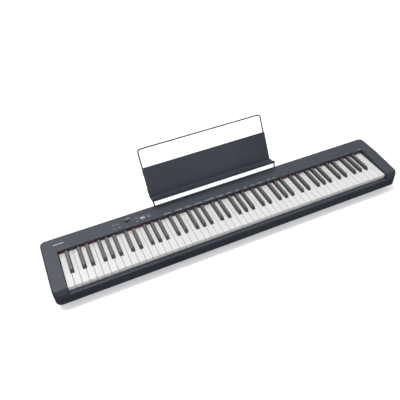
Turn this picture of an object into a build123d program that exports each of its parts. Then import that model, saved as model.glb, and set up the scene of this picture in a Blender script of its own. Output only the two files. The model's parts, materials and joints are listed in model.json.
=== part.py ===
from build123d import *
import math
import os

# Slim 88-key stage piano with a plug-in wire music rest.
# Millimetres. While the pieces are drawn, X = 0 is the middle of the keyboard, Y = 0 the front
# edge of the white keys and Z = 0 their top. Export moves all of it onto the floor.

# ---- keyboard ----
PITCH = 23.5                 # white key spacing
WHITES = 52
KEY_GAP = 1.0
HEAD_LEN = 50.5              # full-width front part of a white key
KEY_TOP_WALL = 2.5
KEY_WALL = 1.8
HEAD_SKIRT = 19.0            # depth of the front part below the top
TAIL_SKIRT = 14.0
KEY_ROUND = 0.8
BLACK_BASE = 11.0
BLACK_TOP = 9.7
BLACK_RISE = 11.0            # black key height above the white tops
BLACK_FRONT = 51.5
BLACK_SLOPE = 7.5            # how far the front face leans back
BLACK_BACK = 145.0
BLACK_ROUND = 1.2
BLACK_SKIRT = 20.0
BLACK_SKIRT_END = 75.0
BLACK_CLEAR = 1.0            # side gap between a black key and the whites
WHITE_DIP = 2.9              # degrees
BLACK_DIP = 3.5              # degrees
BLACK_OFFSET = {             # middle of each black key from the left edge of C
    "C_sharp": 0.9 * PITCH,
    "D_sharp": 2.1 * PITCH,
    "F_sharp": 3.855 * PITCH,
    "G_sharp": 5.0 * PITCH,
    "A_sharp": 6.145 * PITCH,
}
WHITE_NAMES = ["C", "D", "E", "F", "G", "A", "B"]
MIDDLE_OCTAVE = 4            # this octave's keys are single nodes

# ---- pivots ----
ROD_R = 1.5
ROD_CLEAR = 0.05             # moving hub on a rod
ROD_SEAT = 0.02              # rod in a chassis rib
KEY_PIVOT_Y = 200.0
KEY_PIVOT_Z = -8.0
HUB_W = 9.0
HUB_FRONT = 188.0
HUB_BACK = 205.0
HAMMER_Y = 112.0
HAMMER_Z = -38.0
HAMMER_HUB_R = 5.0
HAMMER_ARM = 24.0            # short arm, from rod to key foot
HAMMER_TIP = 29.0
HAMMER_TAIL = 76.0
HAMMER_DROOP = 20.5          # degrees below level at rest
HAMMER_BAR = 3.5             # half height of the bar
HAMMER_HEAD = 6.0            # half height of the weighted end
HAMMER_HEAD_START = 50.0
FOOT_BOTTOM = -30.5
FOOT_GAP = 0.5
FOOT_LEN = 3.0

# ---- key stops and contacts ----
PLATE_TOP = -31.0
PLATE_T = 2.0
PLATE_FRONT = 5.0
PLATE_BACK = 72.0
HOOK_BOTTOM = -40.0
TOE_T = 3.7
HOOK_T = 2.5
HOOK_W = 6.0
STOP_GAP = 0.3
UP_FELT_T = 3.0
FELT_W = 6.0
WHITE_FELT = (22.0, 34.0)
BLACK_FELT = (67.0, 71.5)
GUIDE_CLEAR = 0.5
PEG_Y = 143.0
PEG_BOTTOM = -17.0
BOARD_FRONT = PEG_Y - 15     # contact board
BOARD_REAR = PEG_Y + 15
BOARD_T = 1.6
SHELF_TOP = -26.0
SHELF_T = 2.0
DOME_TOP = -21.0
DOME_R = 3.5
DOME_TIP_R = 2.2
WHITE_GUIDE = (14.5, 18.5, -12.8)    # front, back and top of the guide in a white key
BLACK_GUIDE = (61.5, 65.0, -4.0)

# ---- case ----
CHEEK_W = 48.5               # end block beside the key well
CASE_FRONT = -17.0
CASE_REAR = 215.0
CASE_TOP = 16.0
CREST_Y = 118.0              # the cheeks fall towards the front from here
CREST_R = 220.0
NOSE_Y = -3.0                # where the crest meets the sloping nose
NOSE_Z = 6.0
NOSE_R = 13.0
CHIN_R = 22.0
PARTING = -51.0              # joint between top and bottom case
CASE_BOTTOM = -77.0
FLOOR_Z = -83.0
WALL = 3.0
TRAY_WALL = 2.5
FRONT_CORNER = 22.0
REAR_CORNER = 18.0
CORNER_STEP = 0.3            # extra wall inside the rounded corners
EDGE_R = 8.0
TAPER_FRONT = 37.0
TAPER_REAR = 5.0
TAPER_SIDE = 6.0
TRAY_CORNER = 14.0
WELL_SIDE = 1.5              # gap beside the outer keys
WELL_FRONT = -1.5
WELL_REAR = 147.0
RAIL_TOP = -15.0
RAIL_ROUND = 3.0
LIP_BOTTOM = 8.0
FELT_LIFT = 0.8
TONGUE = 5.0
TONGUE_T = 1.5
TONGUE_CLEAR = 0.3

# ---- chassis ----
BASE_T = 2.0
BASE_FRONT = 24.0
RIB_W = 2.5
FRONT_WALL = (38.0, 41.0)
PILLAR_TOP = -2.0

# ---- music rest ----
WIRE_R = 2.5
WIRE_X = 247.0
LEG_INSET = 7.0              # wire legs in front of the rear face
SOCKET_CLEAR = 0.3
SOCKET_BOTTOM = 2.5
SOCKET_WALL = 1.6
REST_HALF = 250.0
REST_LEAN = 29.0             # degrees from vertical
REST_BACK = 42.0             # panel foot behind the wire legs
REST_LIFT = 11.0             # panel foot above the case
REST_PANEL = 109.0
REST_T = 3.0
WIRE_ABOVE = 68.0
LEDGE_DEPTH = 39.0
LEDGE_RISE = 11.0
LEDGE_LIP = 6.0
LEDGE_STEP = 9.0
WIRE_GAP = 0.1
WIRE_BEND = 10.0
CLIP_L = 14.0
CLIP_EDGE = 20.0
REST_CORNER = 2.5
WIRE_LOOP_R = 11.0

# ---- controls, sockets, speakers, feet, fasteners ----
BUTTON_R = 4.5
BUTTON_CLEAR = 0.3
BUTTON_PROUD = 1.0
BUTTON_TRAVEL = 0.8
BUTTON_FLANGE = 1.2
BUTTON_BOTTOM = 10.0
PANEL_BOARD_TOP = 7.6
CONTROL_Y = 172.0
POWER_X = -410.0
FUNCTION_X = -391.0
PIANO_X = -327.0
SOUND_X = -305.0
BAR_L = 17.0
BAR_W = 6.0
SLIDER_X = -360.0
SLIDER_Y = 181.0
SLIDER_TRAVEL = 9.0
SLIDER_STEM = 3.0
LIGHT_X = -400.0
LIGHT_R = 1.2
JACK_Z = -38.0
JACK_INSET = 1.0             # socket noses stop this far inside the rear face
JACK_DEPTH = 15.9            # from the main board to the rear wall
DC_NOSE_R = 4.5
DC_BORE_R = 2.8
USB_W = 12.0
USB_H = 11.0
PHONES_NOSE_R = 4.0
PHONES_BORE_R = 1.8
PHONES_DEPTH = 15.0
PEDAL_NOSE_R = 5.5
PEDAL_BORE_R = 3.25
PEDAL_DEPTH = 30.0
SOCKET_STEP = 40.0           # from one socket to the next along the main board
FIRST_SOCKET = 30.0          # first socket from the board's left end
CHIPS = [(20.0, 14.0, 12.0), (96.0, 22.0, 16.0), (132.0, 10.0, 8.0)]   # place, width and height
CHIP_MIDDLE = -54.0
CHIP_T = 1.4
MAIN_BOARD_TOP = -24.0
PIN_R = 1.0
PLUG_DEPTH = 10.0            # of the power and data sockets
SOCKET_BODY = 6.0            # half height of the round sockets' bodies
SPEAKER_W = 38.0
SPEAKER_L = 104.0
SPEAKER_Y = 98.0
FOOT_R = 12.0
FOOT_SEAT = 1.0
FOOT_X = 560.0
FEET_Y = (45.0, 190.0)
SCREW_R = 1.5
SCREW_HEAD_R = 2.8
SCREW_HEAD = 2.0
SCREW_LEN = 10.0
BOSS_R = 4.0
END_SCREWS_Y = (34.0, 158.0)
CHASSIS_SCREWS = [(x, y) for x in (-480.0, -150.0, 150.0, 480.0) for y in (60.0, 120.0)]

# ---- worked out from the above ----
KEYS_LEFT = -WHITES * PITCH / 2
WELL_HALF = WHITES * PITCH / 2 + WELL_SIDE
HALF_W = WELL_HALF + CHEEK_W
END_X = HALF_W - CHEEK_W / 2         # middle of each end bay
PEDAL_X = -END_X + 5
LEG_Y = CASE_REAR - LEG_INSET
JACK_BACK = CASE_REAR - JACK_INSET
MAIN_BOARD_Y = CASE_REAR - WALL - JACK_DEPTH - BOARD_T
BASE_BACK = MAIN_BOARD_Y + 11.5
PILLAR_FRONT = HUB_FRONT + 3
REST_FOOT_Y = LEG_Y + REST_BACK
REST_FOOT_Z = CASE_TOP + REST_LIFT
TRAY_FLOOR = CASE_BOTTOM + TRAY_WALL
BASE_TOP = TRAY_FLOOR + BASE_T
HAMMER_TOP = FOOT_BOTTOM - FOOT_GAP
OCTAVE_STARTS = [2 + 7 * k for k in range(7)]
BOARD_LEFT = KEYS_LEFT + OCTAVE_STARTS[0] * PITCH + RIB_W
BOARD_RIGHT = KEYS_LEFT + OCTAVE_STARTS[1] * PITCH - RIB_W
DC_X, USB_X, PHONES_X = [BOARD_LEFT + FIRST_SOCKET + k * SOCKET_STEP for k in range(3)]
END_SCREWS = [(side * END_X, y) for side in (-1, 1) for y in END_SCREWS_Y]
LEAN = math.radians(REST_LEAN)
WIRE_OFF = REST_T + WIRE_R + WIRE_GAP
WIRE_TOP_Y = REST_FOOT_Y + WIRE_OFF * math.cos(LEAN) + (REST_PANEL + WIRE_ABOVE) * math.sin(LEAN)
ORIGIN_Y = (CASE_FRONT + WIRE_TOP_Y + WIRE_R) / 2


def block(x0, x1, y0, y1, z0, z1):
    """A box between two corners."""
    return Pos((x0 + x1) / 2, (y0 + y1) / 2, (z0 + z1) / 2) * Box(x1 - x0, y1 - y0, z1 - z0)


def side_shape(points, x0, x1):
    """A Y-Z outline, extruded from x0 to x1."""
    return extrude(Plane.YZ.offset(x0) * Polygon(*points, align=None), amount=x1 - x0, dir=(1, 0, 0))


def x_rod(y, z, radius, x0, x1):
    """A round bar along X."""
    return Pos((x0 + x1) / 2, y, z) * Rot(0, 90, 0) * Cylinder(radius, x1 - x0)


def y_rod(x, z, radius, y0, y1):
    """A round bar along Y."""
    return Pos(x, (y0 + y1) / 2, z) * Rot(90, 0, 0) * Cylinder(radius, y1 - y0)


def post(x, y, radius, z0, z1):
    """A round bar along Z."""
    return Pos(x, y, (z0 + z1) / 2) * Cylinder(radius, z1 - z0)


def save(name, *solids):
    """Write one node, moved onto the floor and centred over its footprint."""
    moved = [s.moved(Location((0, -ORIGIN_Y, -FLOOR_Z))) for s in solids]
    export_step(moved[0] if len(moved) == 1 else Compound(moved), f"parts/{name}.step")


# ---------------------------------------------------------------- key layout

def white_tails():
    """Tail edges of the seven white keys, from the left edge of C."""
    half = BLACK_BASE / 2 + BLACK_CLEAR
    g = KEY_GAP / 2
    b = BLACK_OFFSET
    return {
        "C": (g, b["C_sharp"] - half),
        "D": (b["C_sharp"] + half, b["D_sharp"] - half),
        "E": (b["D_sharp"] + half, 3 * PITCH - g),
        "F": (3 * PITCH + g, b["F_sharp"] - half),
        "G": (b["F_sharp"] + half, b["G_sharp"] - half),
        "A": (b["G_sharp"] + half, b["A_sharp"] - half),
        "B": (b["A_sharp"] + half, 7 * PITCH - g),
    }


def white_key_places():
    """(index, name, octave, left edge, tail left, tail right) of every white key."""
    tails = white_tails()
    places = []
    for i in range(WHITES):
        n = (i - 2) % 7
        octave = (i - 2) // 7 + 1
        start = KEYS_LEFT + (i - n) * PITCH
        left, right = tails[WHITE_NAMES[n]]
        if i == 0:
            left = n * PITCH + KEY_GAP / 2
        if i == WHITES - 1:
            right = (n + 1) * PITCH - KEY_GAP / 2
        places.append((i, WHITE_NAMES[n], octave, KEYS_LEFT + i * PITCH, start + left, start + right))
    return places


def black_key_places():
    """(name, octave, middle) of every black key."""
    places = [("A_sharp", 0, KEYS_LEFT + BLACK_OFFSET["A_sharp"] - 5 * PITCH)]
    for k, start in enumerate(OCTAVE_STARTS):
        for name, offset in BLACK_OFFSET.items():
            places.append((name, k + 1, KEYS_LEFT + start * PITCH + offset))
    return places


def rib_places():
    """Ribs stand between B and C of each octave, and outside the end keys."""
    edges = [0] + OCTAVE_STARTS + [WHITES - 1, WHITES]
    return [KEYS_LEFT + e * PITCH for e in edges]


# ---------------------------------------------------------------- keys

def key_foot(x, root):
    """Leg under a key that presses the hammer's short arm; its root is inside the key's top wall."""
    y = HAMMER_Y - HAMMER_ARM
    leg = block(x - HOOK_W / 2, x + HOOK_W / 2, y - FOOT_LEN / 2, y + FOOT_LEN / 2, FOOT_BOTTOM, root)
    return fillet(leg.edges().filter_by(Axis.X).group_by(Axis.Z)[0], FOOT_LEN * 0.4)


def contact_peg(x, root):
    """Peg that presses the rubber contact dome."""
    return block(x - 2.5, x + 2.5, PEG_Y - 2, PEG_Y + 2, PEG_BOTTOM, root)


def key_hub(x):
    """Rear block that turns on the key rod."""
    hub = block(x - HUB_W / 2, x + HUB_W / 2, HUB_FRONT, HUB_BACK, -TAIL_SKIRT, 0)
    hub = fillet(hub.edges().filter_by(Axis.X).group_by(Axis.Y)[-1], 2.0)
    return hub


def rod_hole(x, y, z):
    """Running bore for a rod through one hub."""
    return x_rod(y, z, ROD_R + ROD_CLEAR, x - HUB_W, x + HUB_W)


def white_key(left, tail_left, tail_right):
    """White key: a shell with a front hook, a hammer foot, a contact peg and a rear hub."""
    x0 = left + KEY_GAP / 2
    x1 = left + PITCH - KEY_GAP / 2
    middle = (x0 + x1) / 2
    hub = (tail_left + tail_right) / 2
    w = KEY_WALL
    key = block(x0, x1, 0, HEAD_LEN, -HEAD_SKIRT, 0)
    key += block(tail_left, tail_right, HEAD_LEN - 1, HUB_FRONT + 1, -TAIL_SKIRT, 0)
    rim = key.faces().sort_by(Axis.Z)[-1].outer_wire().edges().filter_by(lambda e: e.center().Y < HUB_FRONT)
    key = fillet(rim, KEY_ROUND)
    key -= block(x0 + w, x1 - w, w, HEAD_LEN - w, -HEAD_SKIRT, -KEY_TOP_WALL)
    key -= block(tail_left + w, tail_right - w, HEAD_LEN - w - 1, HUB_FRONT - w, -HEAD_SKIRT, -KEY_TOP_WALL)
    root = -KEY_TOP_WALL / 2
    hook = block(middle - HOOK_W / 2, middle + HOOK_W / 2, 0, HOOK_T, HOOK_BOTTOM, root)
    toe = block(middle - HOOK_W / 2, middle + HOOK_W / 2, 0, 2 * FELT_W, HOOK_BOTTOM, HOOK_BOTTOM + TOE_T)
    key += [hook, toe, key_foot(hub, root), contact_peg(hub, root), key_hub(hub)]
    return key - rod_hole(hub, KEY_PIVOT_Y, KEY_PIVOT_Z)


def black_body():
    """Outer block of a black key about X = 0: sloped front, narrow rounded top."""
    b = BLACK_FRONT
    side = side_shape(
        [(b, -BLACK_SKIRT), (b, 0), (b + BLACK_SLOPE, BLACK_RISE), (BLACK_BACK, BLACK_RISE), (BLACK_BACK, 0),
         (HUB_FRONT + 1, 0), (HUB_FRONT + 1, -TAIL_SKIRT), (BLACK_SKIRT_END, -TAIL_SKIRT),
         (BLACK_SKIRT_END, -BLACK_SKIRT)], -BLACK_BASE, BLACK_BASE)
    low = BLACK_BASE / 2
    high = BLACK_TOP / 2
    section = [(-low, -BLACK_SKIRT), (-low, 0), (-high, BLACK_RISE), (high, BLACK_RISE), (low, 0),
               (low, -BLACK_SKIRT)]
    end = Plane.XZ * Polygon(*section, align=None)
    body = side & extrude(end, amount=HUB_BACK + 1, dir=(0, 1, 0))
    crown = body.edges().filter_by(
        lambda e: e.center().Z > BLACK_RISE / 3 and e.center().Y < BLACK_BACK - 0.5)
    return fillet(crown, BLACK_ROUND)


def black_key(body, x):
    """Black key: a hollow body with a hook, a hammer foot, a contact peg and a rear hub."""
    w = KEY_WALL
    inner = BLACK_TOP / 2 - w + 0.55
    key = Pos(x, 0, 0) * body
    front = BLACK_FRONT + BLACK_SLOPE
    key -= block(x - inner, x + inner, front, BLACK_BACK - w, -BLACK_SKIRT, BLACK_RISE - KEY_TOP_WALL)
    key -= block(x - inner, x + inner, BLACK_FRONT + w, BLACK_SKIRT_END - w, -BLACK_SKIRT, -1)
    key -= block(x - inner, x + inner, BLACK_SKIRT_END - w, HUB_FRONT - w, -BLACK_SKIRT, -KEY_TOP_WALL)
    h = BLACK_SKIRT_END - HOOK_T
    root = BLACK_RISE - KEY_TOP_WALL / 2
    hook = block(x - HOOK_W / 2, x + HOOK_W / 2, h, h + HOOK_T, HOOK_BOTTOM, root)
    toe = block(x - HOOK_W / 2, x + HOOK_W / 2, h - FELT_W - 0.5, h + HOOK_T, HOOK_BOTTOM,
                HOOK_BOTTOM + TOE_T)
    key += [hook, toe, key_foot(x, root), contact_peg(x, -KEY_TOP_WALL / 2), key_hub(x)]
    return key - rod_hole(x, KEY_PIVOT_Y, KEY_PIVOT_Z)


def hammer_end():
    """Y-Z outline of the weighted bar, drooping behind the hammer rod."""
    a = math.radians(-HAMMER_DROOP)
    outline = [(0, HAMMER_BAR), (HAMMER_HEAD_START, HAMMER_BAR), (HAMMER_HEAD_START + 4, HAMMER_HEAD),
               (HAMMER_TAIL, HAMMER_HEAD), (HAMMER_TAIL, -HAMMER_HEAD), (HAMMER_HEAD_START + 4, -HAMMER_HEAD),
               (HAMMER_HEAD_START, -HAMMER_BAR), (0, -HAMMER_BAR)]
    return [(HAMMER_Y + s * math.cos(a) - h * math.sin(a), HAMMER_Z + s * math.sin(a) + h * math.cos(a))
            for s, h in outline]


def hammer_low_point():
    """Lowest point of a resting hammer, as (y, z)."""
    return min(hammer_end(), key=lambda p: p[1])


def hammer(x):
    """One hammer: hub, short arm under the key foot and a weighted bar."""
    x0 = x - HUB_W / 2
    x1 = x + HUB_W / 2
    tip = HAMMER_Y - HAMMER_TIP
    bar = side_shape(hammer_end(), x0, x1)
    arm = side_shape([(tip, HAMMER_TOP), (HAMMER_Y - 12, HAMMER_TOP), (HAMMER_Y, HAMMER_Z + HAMMER_HUB_R),
                      (HAMMER_Y, HAMMER_Z - HAMMER_HUB_R), (tip, HAMMER_TOP - 5)], x0, x1)
    body = arm + bar + x_rod(HAMMER_Y, HAMMER_Z, HAMMER_HUB_R, x0, x1)
    return body - rod_hole(x, HAMMER_Y, HAMMER_Z)


# ---------------------------------------------------------------- case

def inset_corner(before, corner, after, inset):
    """The corner of a clockwise outline, moved in so that both its sides move by the inset."""
    along = Vector(*corner) - Vector(*before)
    onward = Vector(*after) - Vector(*corner)
    n1 = Vector(along.Y, -along.X).normalized()
    n2 = Vector(onward.Y, -onward.X).normalized()
    moved = Vector(*corner) + (n1 + n2) * (inset / (1 + n1.dot(n2)))
    return (moved.X, moved.Y)


def case_outline(inset, bottom):
    """Y-Z outline of the cheeks: upright face, sloping nose, rising crest and flat rear panel."""
    low = bottom - inset
    points = [(CASE_FRONT, low), (CASE_FRONT, RAIL_TOP), (NOSE_Y, NOSE_Z), (CREST_Y, CASE_TOP),
              (CASE_REAR, CASE_TOP), (CASE_REAR, low)]
    corners = [inset_corner(points[i - 1], points[i], points[(i + 1) % 6], inset) for i in range(6)]
    radii = [0, CHIN_R - inset, NOSE_R - inset, CREST_R - inset, 0, 0]
    return make_face(FilletPolyline(*corners, radius=radii, close=True))


def corner_cut(half, edge, inward, radius, step):
    """What is cut off both ends to round a vertical corner; the step sets the arc in from both faces."""
    cuts = []
    for side in (-1, 1):
        x = side * (half - radius - step)
        y = edge + inward * (radius + step)
        square = Pos(x + side * radius, y - inward * radius) * Rectangle(2 * radius, 2 * radius)
        cuts.append(extrude(Pos(0, 0, PARTING - 2) * (square - Pos(x, y) * Circle(radius)),
                            amount=CASE_TOP - PARTING + 4))
    return cuts


def case_body(inset, bottom, step):
    """Form of the top case down to the bottom height, drawn smaller all round by the inset."""
    half = HALF_W - inset
    bar = extrude(Plane.YZ.offset(-half) * case_outline(inset, bottom), amount=2 * half, dir=(1, 0, 0))
    for cut in corner_cut(half, CASE_FRONT + inset, 1, FRONT_CORNER - inset, step):
        bar -= cut
    for cut in corner_cut(half, CASE_REAR - inset, -1, REAR_CORNER - inset, step):
        bar -= cut
    return bar


def plan_shape(half, front, rear, front_corner, rear_corner):
    """Rounded rectangle seen from above."""
    corners = [(-half, front), (half, front), (half, rear), (-half, rear)]
    radii = [front_corner, front_corner, rear_corner, rear_corner]
    return make_face(FilletPolyline(*corners, radius=radii, close=True))


def round_case(body):
    """Soften the whole upper rim except the straight front."""
    rim = body.edges().filter_by(lambda e: e.center().Z > RAIL_TOP - 5)
    ends = rim.filter_by(
        lambda e: abs(e.center().X) > HALF_W - FRONT_CORNER and abs(e.tangent_at(0.5).Z) < 0.99)
    rear = rim.filter_by(lambda e: e.center().Y > CASE_REAR - 0.1 and abs(e.center().X) < 1)
    return fillet(ends + rear, EDGE_R)


def well_block(grow):
    """The space above the keys and the front rail, made larger by the wall."""
    return block(-WELL_HALF - grow, WELL_HALF + grow, CASE_FRONT - 1, WELL_REAR + grow,
                 RAIL_TOP - grow, CASE_TOP + 10)


def cheek_top(y):
    """Height of the cheek's upper surface."""
    slope = (CASE_TOP - NOSE_Z) / (CREST_Y - NOSE_Y)
    return min(CASE_TOP, NOSE_Z + (y - NOSE_Y) * slope)


def rest_sockets():
    """Blind bosses under the rear panel for the wire legs."""
    return [post(side * WIRE_X, LEG_Y, WIRE_R + SOCKET_CLEAR + SOCKET_WALL, SOCKET_BOTTOM - 1.5, CASE_TOP - 1)
            for side in (-1, 1)]


def board_posts():
    """Posts under the rear panel that carry the button board."""
    return [post(x, y, 2.5, PANEL_BOARD_TOP, CASE_TOP - 1)
            for x in (POWER_X - 12, SLIDER_X - 20, SOUND_X + 22) for y in (CONTROL_Y - 12, SLIDER_Y + 12)]


def panel_cuts():
    """Holes in the rear panel for buttons, slider, light and wire legs."""
    low = CASE_TOP - 2 * WALL
    high = CASE_TOP + 1
    grow = BUTTON_CLEAR
    cuts = [post(x, CONTROL_Y, BUTTON_R + grow, low, high) for x in (POWER_X, FUNCTION_X, PIANO_X)]
    cuts.append(block(SOUND_X - BAR_L / 2 - grow, SOUND_X + BAR_L / 2 + grow, CONTROL_Y - BAR_W / 2 - grow,
                      CONTROL_Y + BAR_W / 2 + grow, low, high))
    reach = SLIDER_TRAVEL + SLIDER_STEM / 2 + grow
    cuts.append(block(SLIDER_X - reach, SLIDER_X + reach, SLIDER_Y - SLIDER_STEM / 2 - grow,
                      SLIDER_Y + SLIDER_STEM / 2 + grow, low, high))
    cuts.append(post(LIGHT_X, SLIDER_Y, LIGHT_R + 0.1, low, high))
    cuts += [post(side * WIRE_X, LEG_Y, WIRE_R + SOCKET_CLEAR, SOCKET_BOTTOM, high) for side in (-1, 1)]
    return cuts


def socket_cuts():
    """Openings in the rear wall for the sockets."""
    low = CASE_REAR - WALL - 1
    high = CASE_REAR + 1
    return [
        y_rod(DC_X, JACK_Z, DC_NOSE_R + 0.2, low, high),
        block(USB_X - USB_W / 2 - 0.2, USB_X + USB_W / 2 + 0.2, low, high, JACK_Z - USB_H / 2 - 0.2,
              JACK_Z + USB_H / 2 + 0.2),
        y_rod(PHONES_X, JACK_Z, PHONES_NOSE_R + 0.2, low, high),
        y_rod(PEDAL_X, JACK_Z, PEDAL_NOSE_R + 0.2, low, high),
    ]


def top_case():
    """Upper shell: rear panel, sloping cheeks, key well, front rail and face."""
    outer = round_case(case_body(0, PARTING, 0)) - well_block(0)
    edge = outer.edges().filter_by(Axis.X).filter_by(
        lambda e: e.center().Y < WELL_FRONT - 10 and abs(e.center().Z - RAIL_TOP) < 0.1)
    outer = fillet(edge, RAIL_ROUND)
    shell = outer - (case_body(WALL, PARTING - 1, CORNER_STEP) - well_block(WALL))
    shell -= block(-WELL_HALF, WELL_HALF, WELL_FRONT, WELL_REAR + WALL + 0.5, RAIL_TOP - WALL - 0.5,
                   LIP_BOTTOM)
    bosses = [post(x, y, BOSS_R, TRAY_FLOOR, cheek_top(y) - WALL / 2) for x, y in END_SCREWS]
    shell += bosses + rest_sockets() + board_posts()
    holes = [post(x, y, SCREW_R, TRAY_FLOOR - 1, TRAY_FLOOR + SCREW_LEN) for x, y in END_SCREWS]
    return shell - (panel_cuts() + socket_cuts() + holes)


def tray_form(inset):
    """Outer form of the tapering bottom case, drawn smaller by the inset."""
    rim = plan_shape(HALF_W - inset, CASE_FRONT + inset, CASE_REAR - inset, FRONT_CORNER - inset,
                     REAR_CORNER - inset)
    corner = TRAY_CORNER - inset
    sole = plan_shape(HALF_W - TAPER_SIDE - inset, CASE_FRONT + TAPER_FRONT + inset,
                      CASE_REAR - TAPER_REAR - inset, corner, corner)
    return loft([Pos(0, 0, PARTING) * rim, Pos(0, 0, CASE_BOTTOM + inset) * sole])


def speaker_slots():
    """Sound slots in the floor under each speaker."""
    slots = []
    for side in (-1, 1):
        for k in range(11):
            y = SPEAKER_Y + (k - 5) * 8.0
            half = 15.0 * math.sqrt(1 - ((k - 5) / 6.5) ** 2)
            x = side * (END_X - 2)
            slots.append(block(x - half, x + half, y - 1.5, y + 1.5, CASE_BOTTOM - 1, TRAY_FLOOR + 1))
    return slots


def foot_places():
    """Feet at both ends and under the middle."""
    return [(x, y) for x in (-FOOT_X, 0, FOOT_X) for y in FEET_Y]


def bottom_case():
    """Lower tray with slots, foot seats, screw holes and a tongue inside the top case."""
    tray = tray_form(0) - tray_form(TRAY_WALL)
    gap = WALL + CORNER_STEP + TONGUE_CLEAR
    ring = plan_shape(HALF_W - gap, CASE_FRONT + gap, CASE_REAR - gap, FRONT_CORNER - gap, REAR_CORNER - gap)
    gap += TONGUE_T
    ring -= plan_shape(HALF_W - gap, CASE_FRONT + gap, CASE_REAR - gap, FRONT_CORNER - gap, REAR_CORNER - gap)
    tray += extrude(Pos(0, 0, PARTING - 2) * ring, amount=TONGUE + 2)
    cuts = speaker_slots()
    cuts += [post(x, y, FOOT_R + 0.2, CASE_BOTTOM - 1, CASE_BOTTOM + FOOT_SEAT) for x, y in foot_places()]
    for x, y in END_SCREWS + CHASSIS_SCREWS:
        cuts.append(post(x, y, SCREW_R + 0.2, CASE_BOTTOM - 1, TRAY_FLOOR + 1))
    return tray - cuts


# ---------------------------------------------------------------- chassis

def rib(x):
    """Cross rib that carries both rods and the contact shelf."""
    under = PLATE_TOP - PLATE_T
    outline = [(FRONT_WALL[1], TRAY_FLOOR), (FRONT_WALL[1], under), (PLATE_BACK, under),
               (PLATE_BACK + 8, SHELF_TOP - SHELF_T), (PILLAR_FRONT, SHELF_TOP - SHELF_T),
               (PILLAR_FRONT, PILLAR_TOP), (BASE_BACK, PILLAR_TOP), (BASE_BACK, TRAY_FLOOR)]
    return side_shape(outline, x - RIB_W / 2, x + RIB_W / 2)


def key_chassis():
    """Chassis: base, front wall, guide plate, contact shelf and ribs with the rod holes."""
    x1 = -KEYS_LEFT + RIB_W / 2
    body = block(-x1, x1, BASE_FRONT, BASE_BACK, TRAY_FLOOR, BASE_TOP)
    body += block(-x1, x1, *FRONT_WALL, TRAY_FLOOR, PLATE_TOP)
    body += block(-x1, x1, PLATE_FRONT, PLATE_BACK, PLATE_TOP - PLATE_T, PLATE_TOP)
    body += block(-x1, x1, BOARD_FRONT - 3, BOARD_REAR + 3, SHELF_TOP - SHELF_T, SHELF_TOP)
    body += [rib(x) for x in rib_places()]
    body += [post(x, y, BOSS_R, TRAY_FLOOR, TRAY_FLOOR + SCREW_LEN) for x, y in CHASSIS_SCREWS]
    holes = [x_rod(KEY_PIVOT_Y, KEY_PIVOT_Z, ROD_R + ROD_SEAT, -x1 - 1, x1 + 1),
             x_rod(HAMMER_Y, HAMMER_Z, ROD_R + ROD_SEAT, -x1 - 1, x1 + 1)]
    holes += [post(x, y, SCREW_R, TRAY_FLOOR - 1, TRAY_FLOOR + SCREW_LEN) for x, y in CHASSIS_SCREWS]
    return body - (holes + up_stop_strips())


def pivot_rod(y, z):
    """Steel rod through every rib and hub."""
    return x_rod(y, z, ROD_R, KEYS_LEFT - RIB_W / 2, -KEYS_LEFT + RIB_W / 2)


def key_guides():
    """Guide blocks that stand on the plate inside each key."""
    w = PITCH - KEY_GAP - 2 * KEY_WALL - 2 * GUIDE_CLEAR
    guides = []
    for _, _, _, left, _, _ in white_key_places():
        x = left + PITCH / 2
        guides.append(block(x - w / 2, x + w / 2, *WHITE_GUIDE[:2], PLATE_TOP, WHITE_GUIDE[2]))
    for _, _, x in black_key_places():
        half = BLACK_TOP / 2 - KEY_WALL + 0.55 - GUIDE_CLEAR
        guides.append(block(x - half, x + half, *BLACK_GUIDE[:2], PLATE_TOP, BLACK_GUIDE[2]))
    return guides


def up_stop_strips():
    """Felt strips under the guide plate that the hook toes rest against."""
    x1 = -KEYS_LEFT + RIB_W
    up = PLATE_TOP - PLATE_T
    back = BLACK_SKIRT_END - HOOK_T - 1
    return [block(-x1, x1, PLATE_FRONT + 0.5, PLATE_FRONT + 0.5 + FELT_W, up - UP_FELT_T, up),
            block(-x1, x1, back - FELT_W + 0.5, back, up - UP_FELT_T, up)]


def stop_felts():
    """Felt strips: key down stops, key up stops and the hammer rests."""
    x1 = -KEYS_LEFT
    low_y, low_z = hammer_low_point()
    press = math.sin(math.radians(WHITE_DIP))
    white_top = -HEAD_SKIRT - (KEY_PIVOT_Y - WHITE_FELT[0]) * press - STOP_GAP
    press = math.sin(math.radians(BLACK_DIP))
    black_top = -BLACK_SKIRT - (KEY_PIVOT_Y - BLACK_FELT[0]) * press - STOP_GAP
    felts = [block(-x1, x1, *WHITE_FELT, PLATE_TOP, white_top),
             block(-x1, x1, *BLACK_FELT, PLATE_TOP, black_top)]
    felts += up_stop_strips()
    ribs = rib_places()
    for a, b in zip(ribs, ribs[1:]):
        if b - a > PITCH / 2:
            felts.append(block(a + RIB_W, b - RIB_W, low_y - 6, low_y + 6, BASE_TOP, low_z - STOP_GAP))
    return felts


def key_well_felt():
    """Red felt strip under the rear lip, just above the keys."""
    return block(-WELL_HALF, WELL_HALF, WELL_REAR + 0.2, WELL_REAR + WALL - 0.2, FELT_LIFT, LIP_BOTTOM)


def contact_board():
    """Long circuit board under the key pegs."""
    return block(-WELL_HALF + 3, WELL_HALF - 3, BOARD_FRONT, BOARD_REAR, SHELF_TOP, SHELF_TOP + BOARD_T)


def key_middles():
    """X of every key's hub, white then black."""
    return [(p[4] + p[5]) / 2 for p in white_key_places()] + [p[2] for p in black_key_places()]


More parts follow.
